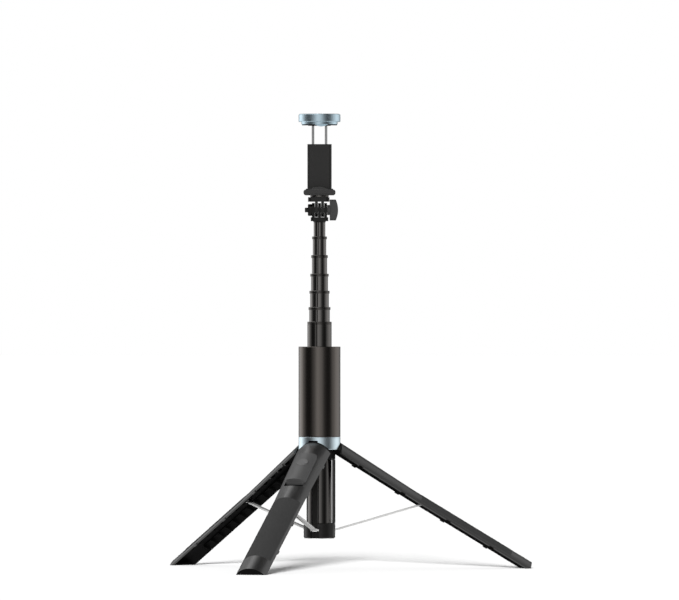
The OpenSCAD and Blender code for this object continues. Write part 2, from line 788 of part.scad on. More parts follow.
module lower_pad() {
  color("#1b1b1b") translate([0, 0, jaw_top]) linear_extrude(pad_t) intersection() {
    circle(inner_r);
    translate([-jaw_w / 2 + 0.6, -5.2]) square([jaw_w - 1.2, 5.2 + housing_y - 0.3]);
  }
}

module clamp_housing() {
  color("#2c2a29") difference() {
    translate([0, 0, jaw_z + 1]) linear_extrude(housing_h - 1) housing_plan();
    rod_places() translate([0, 0, well_foot]) cylinder(r = well_r, h = well_top - well_foot);
    rod_places() translate([0, 0, well_foot]) cylinder(r = rod_r + 0.05, h = 100);
  }
}

module rod_places() {
  for (side = [-1, 1]) translate([side * rod_pitch / 2, rod_y, 0]) children();
}

module guide_rods() {
  color("#d0d0d0") rod_places() translate([0, 0, rod_foot]) cylinder(r = rod_r, h = disc_z + 4 - rod_foot);
}

module rod_washers() {
  color("#8c8c8c") rod_places() translate([0, 0, rod_foot]) difference() {
    cylinder(r = washer_r, h = washer_h);
    translate([0, 0, -1]) cylinder(r = rod_r, h = 5);
  }
}

// Round-wire compression spring as one swept tube, with closed ends.
module coil(r, wire, low, high, turns) {
  per_turn = 14;
  sides = 6;
  rings = turns * per_turn;
  rise = high - low - 2 * wire;
  points = [for (i = [0 : rings], j = [0 : sides - 1])
    let (a = 360 * i / per_turn, b = 360 * j / sides, rr = r + wire * cos(b))
      [rr * cos(a), rr * sin(a), low + wire + rise * i / rings + wire * sin(b)]];
  walls = [for (i = [0 : rings - 1], j = [0 : sides - 1])
    let (n = (j + 1) % sides) [i * sides + j, i * sides + n, (i + 1) * sides + n, (i + 1) * sides + j]];
  polyhedron(points, concat(
    [[for (j = [sides - 1 : -1 : 0]) j]], walls, [[for (j = [0 : sides - 1]) rings * sides + j]]));
}

module clamp_springs() {
  color("#bcbcbc") rod_places() coil((rod_r + well_r) / 2, spring_wire, rod_foot + washer_h, well_top, spring_turns);
}

module top_jaw() {
  color("#a9c6d8") difference() {
    union() {
      translate([0, 0, cap_z]) rotate_extrude() let (r = sleeve_r, s = cap_step_h, h = cap_step_h + cap_h) polygon([
        [0, 0], [cap_step_r, 0], [cap_step_r, s], [r - 0.4, s], [r, s + 0.4], [r, h - 1.4], [r - 0.4, h - 0.5],
        [r - 1.4, h], [0, h]]);
      intersection() {
        cylinder(r = cap_step_r, h = 600);
        translate([2, -5.6, cap_z]) rotate([90, 0, 0]) linear_extrude(3.4) intersection() {
          translate([0, 12 - 2.3]) circle(12);
          translate([-9.5, -3]) square([19, 8]);
        }
      }
    }
    rod_places() translate([0, 0, cap_z - 1]) cylinder(r = rod_r, h = disc_z + 4 - cap_z + 1);
    for (x = [-2.7, 2.7]) translate([x, -sleeve_r + 1.2, disc_z + cap_h + 1]) sphere(1.6);
    translate([9.9, -sleeve_r + 0.2, disc_z + cap_h / 2 + 0.6]) rotate([-90, 0, 0]) cylinder(r = 0.7, h = 2, center = true);
  }
}

module top_pad() {
  color("#1b1b1b") translate([0, 0, cap_z - pad_t]) linear_extrude(pad_t) intersection() {
    circle(cap_step_r - 0.6);
    translate([-20, -5.2]) square([40, 5.2 + housing_y - 0.3]);
  }
}

hub();
hub_screws();
stop_posts();
tube(1);  // tube_1
rim(1);  // rim_1
sleeve();
ring();
hinge_block();
hinge_pins();
leg(FRONT);  // leg_front
leg(RIGHT);  // leg_right
leg(REAR);  // leg_rear
grip(FRONT);  // grip_front
grip(RIGHT);  // grip_right
grip(REAR);  // grip_rear
brace_bolt(FRONT);  // brace_bolt_front
brace_bolt(RIGHT);  // brace_bolt_right
brace_bolt(REAR);  // brace_bolt_rear
brace(FRONT);  // brace_front
brace(RIGHT);  // brace_right
brace(REAR);  // brace_rear
tube(2);  // tube_2
tube(3);  // tube_3
tube(4);  // tube_4
tube(5);  // tube_5
tube(6);  // tube_6
tube(7);  // tube_7
rim(2);  // rim_2
rim(3);  // rim_3
rim(4);  // rim_4
rim(5);  // rim_5
rim(6);  // rim_6
foot_bush(2);  // foot_bush_2
foot_bush(3);  // foot_bush_3
foot_bush(4);  // foot_bush_4
foot_bush(5);  // foot_bush_5
foot_bush(6);  // foot_bush_6
foot_bush(7);  // foot_bush_7
remote_top();
remote_base();
remote_button();
remote_board();
remote_cell();
head_base();
head_nut();
head_bolt();
head_knob();
head_mount();
turntable();
turntable_screw();
lower_jaw();
lower_pad();
clamp_housing();
top_jaw();
top_pad();
guide_rods();
rod_washers();
clamp_springs();
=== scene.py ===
import json
import math

import bmesh
import bpy
from mathutils import Matrix, Vector

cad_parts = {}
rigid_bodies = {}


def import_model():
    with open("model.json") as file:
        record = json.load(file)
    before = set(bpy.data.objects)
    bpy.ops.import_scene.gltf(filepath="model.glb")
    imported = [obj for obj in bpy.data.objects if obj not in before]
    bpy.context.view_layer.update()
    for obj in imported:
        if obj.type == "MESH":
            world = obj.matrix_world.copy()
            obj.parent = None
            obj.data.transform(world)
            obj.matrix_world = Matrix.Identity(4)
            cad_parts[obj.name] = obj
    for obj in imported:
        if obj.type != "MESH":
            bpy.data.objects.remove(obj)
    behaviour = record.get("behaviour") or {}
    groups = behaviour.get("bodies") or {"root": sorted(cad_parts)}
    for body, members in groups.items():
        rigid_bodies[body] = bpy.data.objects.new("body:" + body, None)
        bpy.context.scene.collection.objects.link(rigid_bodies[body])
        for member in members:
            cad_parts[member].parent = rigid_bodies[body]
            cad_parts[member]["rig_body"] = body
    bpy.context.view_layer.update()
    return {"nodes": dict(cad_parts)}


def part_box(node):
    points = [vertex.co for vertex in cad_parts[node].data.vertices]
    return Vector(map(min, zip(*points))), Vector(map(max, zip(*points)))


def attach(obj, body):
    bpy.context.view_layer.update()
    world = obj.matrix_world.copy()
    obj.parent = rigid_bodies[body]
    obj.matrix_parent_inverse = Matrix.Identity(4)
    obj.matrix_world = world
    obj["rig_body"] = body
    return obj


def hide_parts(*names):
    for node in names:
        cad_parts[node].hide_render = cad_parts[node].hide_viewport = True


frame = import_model()
nodes = frame["nodes"]
scene = bpy.context.scene
scene.view_settings.view_transform = "Standard"

# Studio. The stick stands on a white floor that runs out into a white backdrop. A soft lamp low in front
# throws the legs' shadows back. A round screen fades from white to black and back round the set, and the
# ceiling above it fades from side to side, so that the metal and the nylon show both as long soft stripes.
CAMERA_DISTANCE = 10.5
CAMERA_SIDE = 0.0214
CAMERA_HEIGHT = 0.288
CAMERA_SIGHT = 100
VIEW_WIDTH = 0.7265
FLOOR_REACH = 40
FLOOR_DROP = 0.0002
FLOOR_COLOUR = 0.35
FLOOR_SEEN = 0.62
WHITE = (1, 1, 1, 1)
ROOM_LIGHT = 0.42
BACKDROP_LIGHT = 1
LAMP_LIGHT = 2.1
LAMP_AIM = (0.055, 0.96, -0.27)
LAMP_SOFTNESS = 7
SHADOW_LAMP_LIGHT = 16.5
SHADOW_LAMP_AIM = (0.055, 0.97, -0.235)
SHADOW_LAMP_SOFTNESS = 10
SCREEN_BRIGHTEST = 1.35
SCREEN_STOPS = [(-180, 0.06), (-165, 0.09), (-155, 0.26), (-146, 0.6), (-138, 1), (-116, 0.97), (-94, 0.3),
                (-76, 0.035), (-50, 0.03), (-32, 0.22), (-9, 0.7), (8, 0.5), (30, 0.09), (44, 0.035),
                (58, 0.045), (82, 0.42), (106, 0.75), (124, 0.72), (140, 0.4), (156, 0.13), (180, 0.06)]
SCREEN_STEP = 4
SCREEN_RADIUS = 1.6
SCREEN_REACH = 1.9
CEILING_STOPS = [(-1.0, 1.6), (-0.55, 1.65), (-0.38, 1.2), (-0.08, 0.45), (0.12, 0.12), (0.3, 0.04),
                 (0.6, 0.05), (0.95, 0.12), (1.6, 0.25)]


def linked(thing):
    scene.collection.objects.link(thing)
    return thing


def mesh_object(name, vertices, faces):
    mesh = bpy.data.meshes.new(name)
    mesh.from_pydata(vertices, [], faces)
    return linked(bpy.data.objects.new(name, mesh))


def new_material(name):
    made = bpy.data.materials.new(name)
    made.use_nodes = True
    made.node_tree.nodes.clear()
    return made, made.node_tree


def add_step(tree, kind, feeds=None, **settings):
    """Adds a node, feeds its inputs with values or with other nodes' outputs, and gives its own outputs."""
    step = tree.nodes.new(kind)
    for setting, value in settings.items():
        setattr(step, setting, value)
    for socket, feed in (feeds or {}).items():
        if isinstance(feed, bpy.types.NodeSocket):
            tree.links.new(feed, step.inputs[socket])
        else:
            step.inputs[socket].default_value = feed
    return step.outputs


def add_math(tree, operation, *feeds):
    return add_step(tree, "ShaderNodeMath", dict(enumerate(feeds)), operation=operation)[0]


def seen_directly(tree):
    """One for what the camera, a mirror or a glass sees, and nothing for the light that falls on things."""
    seen = add_step(tree, "ShaderNodeLightPath")
    mirror_or_glass = add_math(tree, "MAXIMUM", seen["Is Glossy Ray"], seen["Is Transmission Ray"])
    return add_math(tree, "MAXIMUM", seen["Is Camera Ray"], mirror_or_glass)


camera_data = bpy.data.cameras.new("camera")
camera_data.angle = 2 * math.atan(VIEW_WIDTH / 2 / CAMERA_DISTANCE)
camera_data.clip_end = CAMERA_SIGHT
camera = linked(bpy.data.objects.new("camera", camera_data))
camera.location = (CAMERA_SIDE, -CAMERA_DISTANCE, CAMERA_HEIGHT)
camera.rotation_euler = (math.pi / 2, 0, 0)
scene.camera = camera

corners = [(x * FLOOR_REACH, y * FLOOR_REACH, -FLOOR_DROP) for x, y in ((-1, -1), (1, -1), (1, 1), (-1, 1))]
floor = mesh_object("floor", corners, [(0, 1, 2, 3)])
floor_paint, tree = new_material("floor_paint")
shade = add_step(tree, "ShaderNodeMapRange",
                 {"To Min": FLOOR_COLOUR, "To Max": FLOOR_SEEN, "Value": seen_directly(tree)})
paint = add_step(tree, "ShaderNodeBsdfDiffuse", {"Color": shade["Result"]})
add_step(tree, "ShaderNodeOutputMaterial", {"Surface": paint["BSDF"]})
floor.data.materials.append(floor_paint)
floor.visible_glossy = False

world = bpy.data.worlds.new("room")
world.use_nodes = True
scene.world = world
tree = world.node_tree
tree.nodes.clear()
room = add_step(tree, "ShaderNodeBackground", {"Color": WHITE, "Strength": ROOM_LIGHT})
backdrop = add_step(tree, "ShaderNodeBackground", {"Color": WHITE, "Strength": BACKDROP_LIGHT})
mix = add_step(tree, "ShaderNodeMixShader", {"Fac": seen_directly(tree), 1: room[0], 2: backdrop[0]})
add_step(tree, "ShaderNodeOutputWorld", {"Surface": mix[0]})

floor_only = bpy.data.collections.new("floor_only")
floor_only.objects.link(floor)
not_floor = bpy.data.collections.new("not_floor")
not_floor.objects.link(floor)
not_floor.collection_objects[0].light_linking.link_state = "EXCLUDE"
shadow_makers = bpy.data.collections.new("shadow_makers")


def hang_lamp(name, energy, aim, softness, lit):
    lamp_data = bpy.data.lights.new(name, "SUN")
    lamp_data.energy = energy
    lamp_data.angle = math.radians(softness)
    lamp = linked(bpy.data.objects.new(name, lamp_data))
    lamp.rotation_euler = Vector(aim).to_track_quat("-Z", "Y").to_euler()
    lamp.visible_glossy = False
    lamp.light_linking.receiver_collection = lit
    return lamp


hang_lamp("lamp", LAMP_LIGHT, LAMP_AIM, LAMP_SOFTNESS, not_floor)
shadow_lamp = hang_lamp("shadow_lamp", SHADOW_LAMP_LIGHT, SHADOW_LAMP_AIM, SHADOW_LAMP_SOFTNESS, floor_only)
shadow_lamp.light_linking.blocker_collection = shadow_makers


def seen_in_mirrors(name, corners, faces, paint):
    card = mesh_object(name, corners, faces)
    card.data.materials.append(paint)
    card.visible_camera = card.visible_diffuse = card.visible_shadow = False


def glowing(name, stops, measure):
    """A light that changes smoothly along a measure worked out from where it is on the card."""
    made, tree = new_material(name)
    low, high = stops[0][0], stops[-1][0]
    place = add_step(tree, "ShaderNodeSeparateXYZ", {0: add_step(tree, "ShaderNodeTexCoord")["Object"]})
    along = add_step(tree, "ShaderNodeMapRange",
                     {"From Min": low, "From Max": high, "Value": measure(tree, place)})
    fade = tree.nodes.new("ShaderNodeValToRGB")
    ramp = fade.color_ramp
    ramp.interpolation = "EASE"
    for i, (at, level) in enumerate(stops):
        share = (at - low) / (high - low)
        stop = ramp.elements[i] if i < 2 else ramp.elements.new(share)  # A new ramp has two stops.
        stop.position = share
        stop.color = (level, level, level, 1)
    tree.links.new(along["Result"], fade.inputs["Fac"])
    glow = add_step(tree, "ShaderNodeEmission",
                    {"Strength": SCREEN_BRIGHTEST, "Color": fade.outputs["Color"]})
    add_step(tree, "ShaderNodeOutputMaterial", {"Surface": glow[0]})
    return made


def azimuth_degrees(tree, place):
    ahead = add_math(tree, "MULTIPLY", place["Y"], -1)
    return add_math(tree, "DEGREES", add_math(tree, "ARCTAN2", place["X"], ahead))


around = [(SCREEN_RADIUS * math.sin(math.radians(a)), -SCREEN_RADIUS * math.cos(math.radians(a)))
          for a in range(-180, 181, SCREEN_STEP)]
seen_in_mirrors(
    "screen", [(x, y, z) for x, y in around for z in (-SCREEN_REACH, SCREEN_REACH)],
    [(i, i + 2, i + 3, i + 1) for i in range(0, 2 * len(around) - 2, 2)],
    glowing("screen_fade", SCREEN_STOPS, azimuth_degrees))
seen_in_mirrors(
    "ceiling", [(x, y, SCREEN_REACH) for x, y in around[1:]], [tuple(range(len(around) - 1))],
    glowing("ceiling_fade", CEILING_STOPS, lambda tree, place: place["X"]))

# Lower hub. A dark anodised turned disc that closes the foot of the mast, slotted for the three braces, with
# three small blackened screws in its side. The stop posts that stand on it are bent, blackened strip steel.
HUB_COLOUR = (0.013, 0.0125, 0.012)
POST_COLOUR = (0.07, 0.068, 0.066)
SCREW_COLOUR = (0.03, 0.03, 0.03)
MID_GREY = (0.5, 0.5, 0.5, 1)
PALE_GREY = (0.8, 0.8, 0.8, 1)
MARK_DETAIL = 3
DRAWN_OUT = 0.02
DRIFT_SCALE = 45
DRIFT_DETAIL = 2
DRIFT_ROUGHNESS = 0.08
RUB_SCALE = 260
RUB_DETAIL = 4
RUB_FROM = 0.35
RUB_TO = 0.65
WORN_GAIN = 2.2
WORN_LIFT = 0.02
SAME_POINT = 0.000002
FLAT_WITHIN = math.radians(0.4)
SHARP_FROM = math.radians(32)
EVEN_WEIGHT = 100
EDGE_SLOT = 1


def shader_group(name, inputs, outputs):
    made = bpy.data.node_groups.new(name, "ShaderNodeTree")
    for label, value in inputs.items():
        kind = "NodeSocketColor" if isinstance(value, tuple) else "NodeSocketFloat"
        made.interface.new_socket(label, in_out="INPUT", socket_type=kind).default_value = value
    for label, kind in outputs.items():
        made.interface.new_socket(label, in_out="OUTPUT", socket_type=kind)
    return made, add_step(made, "NodeGroupInput")


def add_scaled(tree, vector, factor):
    return add_step(tree, "ShaderNodeVectorMath", {0: vector, "Scale": factor}, operation="SCALE")[0]


def add_noise(tree, place, scale, detail):
    return add_step(tree, "ShaderNodeTexNoise", {"Vector": place, "Scale": scale, "Detail": detail})["Fac"]


def finish_group(name, stretch):
    """A finish in one node: fine marks stretched along or round the piece, over slow changes of tone."""
    made, given = shader_group(
        name, {"Color": MID_GREY, "Roughness": 0.4, "Mark Size": 0.0005, "Contrast": 0.2, "Tone": 0.15},
        {"Color": "NodeSocketColor", "Roughness": "NodeSocketFloat", "Height": "NodeSocketFloat"})
    place = add_step(made, "ShaderNodeTexCoord")["Object"]
    spread = add_step(made, "ShaderNodeVectorMath", {0: place, 1: stretch}, operation="MULTIPLY")[0]
    marks = add_noise(made, spread, add_math(made, "DIVIDE", 1, given["Mark Size"]), MARK_DETAIL)
    mark = add_math(made, "SUBTRACT", marks, 0.5)
    drift = add_math(made, "SUBTRACT", add_noise(made, place, DRIFT_SCALE, DRIFT_DETAIL), 0.5)
    tone = add_math(made, "MULTIPLY_ADD", drift, given["Tone"], 1)
    tone = add_math(made, "MULTIPLY_ADD", mark, given["Contrast"], tone)
    rough = add_math(made, "MULTIPLY_ADD", mark, given["Contrast"], given["Roughness"])
    rough = add_math(made, "MULTIPLY_ADD", drift, DRIFT_ROUGHNESS, rough)
    add_step(made, "NodeGroupOutput",
             {"Color": add_scaled(made, given["Color"], tone), "Roughness": rough, "Height": marks})
    return made


def wear_group():
    """Rubs a paler colour through, in patches, where a piece's faces are marked as its edges."""
    made, given = shader_group(
        "edge_wear", {"Color": MID_GREY, "Worn": PALE_GREY, "Amount": 0.4}, {"Color": "NodeSocketColor"})
    edge = add_step(made, "ShaderNodeAttribute", attribute_name="edge")["Fac"]
    place = add_step(made, "ShaderNodeTexCoord")["Object"]
    patches = add_step(made, "ShaderNodeMapRange", {
        "From Min": RUB_FROM, "From Max": RUB_TO, "Value": add_noise(made, place, RUB_SCALE, RUB_DETAIL)})
    rubbed = add_math(made, "MULTIPLY", edge, patches["Result"])
    rubbed = add_math(made, "MULTIPLY", rubbed, given["Amount"])
    blend = add_step(made, "ShaderNodeMix", data_type="RGBA",
                     feeds={0: rubbed, 6: given["Color"], 7: given["Worn"]})
    add_step(made, "NodeGroupOutput", {"Color": blend[2]})
    return made


moulded_grain = finish_group("moulded_grain", (1, 1, 1))
drawn_lines = finish_group("drawn_lines", (1, 1, DRAWN_OUT))
turned_lines = finish_group("turned_lines", (DRAWN_OUT, DRAWN_OUT, 1))
edge_wear = wear_group()


def surface(name, colour, rough, finish=moulded_grain, metal=0, mark=0.0005, contrast=0.15, tone=0.15,
            depth=0.00002, worn=None, wear=0.4, specular=0.5):
    """A material with fine marks of the given size and depth, changes of tone and worn edges."""
    made, tree = new_material(name)
    worn = worn or tuple(min(1, share * WORN_GAIN + WORN_LIFT) for share in colour)
    marks = add_step(tree, "ShaderNodeGroup", node_tree=finish, feeds={
        "Color": (*colour, 1), "Roughness": rough, "Mark Size": mark, "Contrast": contrast, "Tone": tone})
    rubbed = add_step(tree, "ShaderNodeGroup", node_tree=edge_wear, feeds={
        "Color": marks["Color"], "Worn": (*worn, 1), "Amount": wear})
    bump = add_step(tree, "ShaderNodeBump", {"Strength": 1, "Distance": depth, "Height": marks["Height"]})
    shader = add_step(tree, "ShaderNodeBsdfPrincipled", {
        "Base Color": rubbed["Color"], "Roughness": marks["Roughness"], "Metallic": metal,
        "Specular IOR Level": specular, "Normal": bump["Normal"]})
    add_step(tree, "ShaderNodeOutputMaterial", {"Surface": shader["BSDF"]})
    return made


def in_finish(node, finish):
    for slot in nodes[node].material_slots:
        slot.material = finish


def body_of_node(node):
    return nodes[node]["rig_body"]


def settle(piece, node):
    """Lets a finished piece stand for its solid and move with its body."""
    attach(piece, body_of_node(node))
    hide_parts(node)
    return piece


def plain_mesh(piece, name):
    """Turns a piece and its modifiers into one plain mesh object."""
    graph = bpy.context.evaluated_depsgraph_get()
    mesh = bpy.data.meshes.new_from_object(
        piece.evaluated_get(graph), preserve_all_data_layers=True, depsgraph=graph)
    bpy.data.objects.remove(piece)
    mesh.name = name
    return linked(bpy.data.objects.new(name, mesh))


def merged(mesh):
    """Takes up a mesh for work, with its doubled points made one."""
    shape = bmesh.new()
    shape.from_mesh(mesh)
    bmesh.ops.remove_doubles(shape, verts=shape.verts, dist=SAME_POINT)
    return shape


def put_down(shape, mesh):
    """Puts the work down in a mesh."""
    shape.to_mesh(mesh)
    shape.free()
    return mesh


def eased(node, name, finish, radius, steps=2, draft=None):
    """The solid's own shape, or a draft of it, with sharp edges eased to a radius and marked for wear."""
    shape = merged(draft.data if draft else nodes[node].data)
    if draft:
        bpy.data.objects.remove(draft)
    bmesh.ops.dissolve_limit(shape, angle_limit=FLAT_WITHIN, verts=shape.verts, edges=shape.edges)
    piece = linked(bpy.data.objects.new(name + "_draft", put_down(shape, bpy.data.meshes.new(name))))
    for face in piece.data.polygons:
        face.use_smooth = True
    piece.data.materials.clear()
    piece.data.materials.append(finish)
    piece.data.materials.append(finish)
    ease = piece.modifiers.new("eased_edges", "BEVEL")
    ease.width = radius
    ease.segments = steps
    ease.limit_method = "ANGLE"
    ease.angle_limit = SHARP_FROM
    ease.material = EDGE_SLOT
    piece.modifiers.new("even_shading", "WEIGHTED_NORMAL").weight = EVEN_WEIGHT
    piece = plain_mesh(piece, name)
    worn = [float(face.material_index == EDGE_SLOT) for face in piece.data.polygons]
    for face in piece.data.polygons:
        face.material_index = 0
    piece.data.materials.clear()
    piece.data.materials.append(finish)
    piece.data.attributes.new("edge", "FLOAT", "FACE").data.foreach_set("value", worn)
    return settle(piece, node)


hub_black = surface("hub_black", HUB_COLOUR, 0.32, turned_lines, metal=0.2, mark=0.0006, worn=(0.3, 0.3, 0.3),
                    wear=0.25, specular=0.3)
eased("hub", "hub_turned", hub_black, radius=0.0003)
screw_black = surface("screw_black", SCREW_COLOUR, 0.35, turned_lines, metal=1, mark=0.0003)
in_finish("hub_screws", screw_black)
post_black = surface("post_black", POST_COLOUR, 0.35, drawn_lines, metal=1, worn=(0.3, 0.3, 0.3), wear=0.5)
eased("stop_posts", "stop_posts_bent", post_black, radius=0.00015)

# Mast tubes. Seven dark anodised aluminium tubes drawn with two keying grooves, so that they slide but don't
# turn. All but the inmost have a wider rim rolled on their top, and all but the outmost have a nylon bush on
# their foot that runs in the next tube.
TUBES = 7
FIXED_RADIUS = 0.013
FIXED_WALL = 0.0012
FIRST_RADIUS = 0.011
RADIUS_STEP = 0.00095
SLIDING_WALL = 0.0005
KEY_RADIUS = 0.0015
KEY_OUT = 0.00075
KEY_AZIMUTH = math.radians(-17 - 90)
OUTLINE_STEPS = 288
CREASE_FROM = math.radians(30)
TUBE_COLOUR = (0.17, 0.163, 0.157)
MAST_COLOUR = (0.13, 0.124, 0.119)
RIM_COLOUR = (0.085, 0.08, 0.076)
BUSH_COLOUR = (0.03, 0.03, 0.03)


def geometry_tree(name, sizes, counts=()):
    """A new tree for a shape, with inputs for its sizes, its counts and its finish."""
    made = bpy.data.node_groups.new(name, "GeometryNodeTree")
    for kind, labels in (("Float", sizes), ("Int", counts), ("Material", ["Finish"])):
        for label in labels:
            made.interface.new_socket(label, in_out="INPUT", socket_type="NodeSocket" + kind)
    made.interface.new_socket("Geometry", in_out="OUTPUT", socket_type="NodeSocketGeometry")
    return made, add_step(made, "NodeGroupInput")


def finished_tree(made, shape, finish):
    """Ends a tree: its shape is made real and dressed."""
    real = add_step(made, "GeometryNodeRealizeInstances", {0: shape})[0]
    dressed = add_step(made, "GeometryNodeSetMaterial", {"Geometry": real, "Material": finish})[0]
    add_step(made, "NodeGroupOutput", {0: dressed})
    return made


def brought_together(made, *shapes):
    join = made.nodes.new("GeometryNodeJoinGeometry")
    for shape in shapes:
        made.links.new(shape, join.inputs[0])
    return join.outputs[0]


def keyed_outline(made, given, less):
    """A tube's outline with a round groove on each side, drawn in by as much as the wall takes."""
    place = add_step(made, "GeometryNodeInputPosition")[0]
    spot = add_step(made, "ShaderNodeSeparateXYZ", {0: place})
    azimuth = add_math(made, "ARCTAN2", spot["Y"], spot["X"])
    off_key = add_math(made, "SUBTRACT", azimuth, given["Key Azimuth"])
    key_at = add_math(made, "ADD", given["Radius"], given["Key Out"])
    radius = add_math(made, "SUBTRACT", given["Radius"], less)
    key = add_math(made, "ADD", given["Key Radius"], less)
    across = add_math(made, "MULTIPLY", key_at, add_math(made, "SINE", off_key))
    along = add_math(made, "MULTIPLY", key_at, add_math(made, "ABSOLUTE", add_math(made, "COSINE", off_key)))
    depth = add_math(made, "SUBTRACT", add_math(made, "POWER", key, 2), add_math(made, "POWER", across, 2))
    in_key = add_math(made, "GREATER_THAN", depth, 0)
    dip = add_math(made, "SUBTRACT", along, add_math(made, "SQRT", add_math(made, "MAXIMUM", depth, 0)))
    cut = add_math(made, "SUBTRACT", radius, add_math(made, "MINIMUM", dip, radius))
    left = add_math(made, "SUBTRACT", radius, add_math(made, "MULTIPLY", in_key, cut))
    ring = add_step(made, "GeometryNodeCurvePrimitiveCircle",
                    {"Resolution": OUTLINE_STEPS, "Radius": radius})
    drawn_in = add_scaled(made, place, add_math(made, "DIVIDE", left, radius))
    return add_step(made, "GeometryNodeSetPosition", {"Geometry": ring["Curve"], "Position": drawn_in})[0]


def tube_tree():
    """Fills the ring between a keyed outline and its bore, and pulls it out to a tube."""
    made, given = geometry_tree(
        "drawn_tube", ("Radius", "Wall", "Foot", "Length", "Key Radius", "Key Out", "Key Azimuth"))
    outlines = [keyed_outline(made, given, less) for less in (0, given["Wall"])]
    section = add_step(made, "GeometryNodeFillCurve", {"Curve": brought_together(made, *outlines)})[0]
    upward = add_step(made, "ShaderNodeCombineXYZ", {"Z": 1})[0]
    pulled = add_step(made, "GeometryNodeExtrudeMesh", {
        "Mesh": section, "Offset": upward, "Offset Scale": given["Length"], "Individual": False})["Mesh"]
    foot = add_step(made, "GeometryNodeFlipFaces", {0: section})[0]
    whole = add_step(made, "GeometryNodeMergeByDistance", {
        "Geometry": brought_together(made, foot, pulled), "Distance": SAME_POINT / 2})[0]
    lift = add_step(made, "ShaderNodeCombineXYZ", {"Z": given["Foot"]})[0]
    raised = add_step(made, "GeometryNodeTransform", {"Geometry": whole, "Translation": lift})[0]
    return finished_tree(made, raised, given["Finish"])


def grown(name, tree, values):
    """Runs a geometry tree with the given sizes and keeps its result as a plain mesh."""
    seed = mesh_object(name + "_seed", [(0, 0, 0)], [])
    run = seed.modifiers.new("grown", "NODES")
    run.node_group = tree
    for item in tree.interface.items_tree:
        if item.in_out == "INPUT" and item.name in values:
            run[item.identifier] = values[item.name]
    return plain_mesh(seed, name)


def smooth(piece):
    for face in piece.data.polygons:
        face.use_smooth = True
    piece.data.set_sharp_from_angle(angle=CREASE_FROM)
    return piece


polished = {"finish": drawn_lines, "metal": 1, "mark": 0.0004, "contrast": 0.06, "tone": 0.1,
            "depth": 0.000002}
mast_black = surface("mast_black", MAST_COLOUR, 0.17, **polished)
tube_black = surface("tube_black", TUBE_COLOUR, 0.18, **polished)
rim_black = surface("rim_black", RIM_COLOUR, 0.3, turned_lines, metal=1, mark=0.0003, worn=(0.4, 0.4, 0.39),
                    wear=0.3)
bush_nylon = surface("bush_nylon", BUSH_COLOUR, 0.5)
drawn_tube = tube_tree()
for i in range(1, TUBES + 1):
    low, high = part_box(f"tube_{i}")
    fixed = i == 1
    tube = grown(f"tube_{i}_drawn", drawn_tube, {
        "Radius": FIXED_RADIUS if fixed else FIRST_RADIUS - (i - 2) * RADIUS_STEP,
        "Wall": FIXED_WALL if fixed else SLIDING_WALL, "Foot": low.z, "Length": high.z - low.z,
        "Key Radius": KEY_RADIUS, "Key Out": KEY_OUT, "Key Azimuth": KEY_AZIMUTH,
        "Finish": mast_black if fixed else tube_black})
    settle(smooth(tube), f"tube_{i}")
    if not fixed:
        in_finish(f"foot_bush_{i}", bush_nylon)
    if i < TUBES:
        eased(f"rim_{i}", f"rim_{i}_rolled", rim_black, radius=0.00018)

# Sleeve. The wide upper half of the handle: a turned aluminium sleeve, dark bronze-black and glossy, with its
# ends rounded over. It is pressed on the hinge block and slides up and down the mast with it.
SLEEVE_RADIUS = 0.0224
SLEEVE_WALL = 0.0012
SLEEVE_END_RADIUS = 0.0005
SLEEVE_BORE_RADIUS = 0.0003
SLEEVE_COLOUR = (0.135, 0.122, 0.112)
CORNER_STEPS = 5
TURNED_STEPS = 192


def turned(name, outline, around=TURNED_STEPS):
    """Turns an outline of (radius, height) points round the mast axis, closed where it meets the axis."""
    points = [(r * math.cos(turn), r * math.sin(turn), z)
              for turn in (2 * math.pi * i / around for i in range(around)) for r, z in outline]
    n = len(outline)
    faces = []
    for i in range(around):
        j = (i + 1) % around
        faces += [(i * n + k, j * n + k, j * n + (k + 1) % n, i * n + (k + 1) % n) for k in range(n)]
    piece = mesh_object(name, points, faces)
    shape = merged(piece.data)
    bmesh.ops.dissolve_degenerate(shape, edges=shape.edges, dist=SAME_POINT / 20)
    bmesh.ops.recalc_face_normals(shape, faces=shape.faces)
    put_down(shape, piece.data)
    return piece


def arc(radius, start, end, steps):
    turns = [start + (end - start) * i / steps for i in range(steps + 1)]
    return [(radius * math.cos(turn), radius * math.sin(turn)) for turn in turns]


def rounded_corner(r, z, radius, quarter):
    """Points round a corner whose centre is (r, z), through one of the four quarter turns."""
    start = quarter * math.pi / 2
    return [(r + dr, z + dz) for dr, dz in arc(radius, start, start + math.pi / 2, CORNER_STEPS)]


low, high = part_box("sleeve")
rim_at = SLEEVE_RADIUS - SLEEVE_END_RADIUS
bore_at = SLEEVE_RADIUS - SLEEVE_WALL + SLEEVE_BORE_RADIUS
outline = (
    rounded_corner(rim_at, low.z + SLEEVE_END_RADIUS, SLEEVE_END_RADIUS, -1)
    + rounded_corner(rim_at, high.z - SLEEVE_END_RADIUS, SLEEVE_END_RADIUS, 0)
    + rounded_corner(bore_at, high.z - SLEEVE_BORE_RADIUS, SLEEVE_BORE_RADIUS, 1)
    + [(SLEEVE_RADIUS - SLEEVE_WALL, low.z)]
)
sleeve_black = surface("sleeve_black", SLEEVE_COLOUR, 0.22, turned_lines, metal=1, contrast=0.05, tone=0.05,
                       depth=0.000002)
sleeve = turned("sleeve_turned", outline)
sleeve.data.materials.append(sleeve_black)
settle(smooth(sleeve), "sleeve")

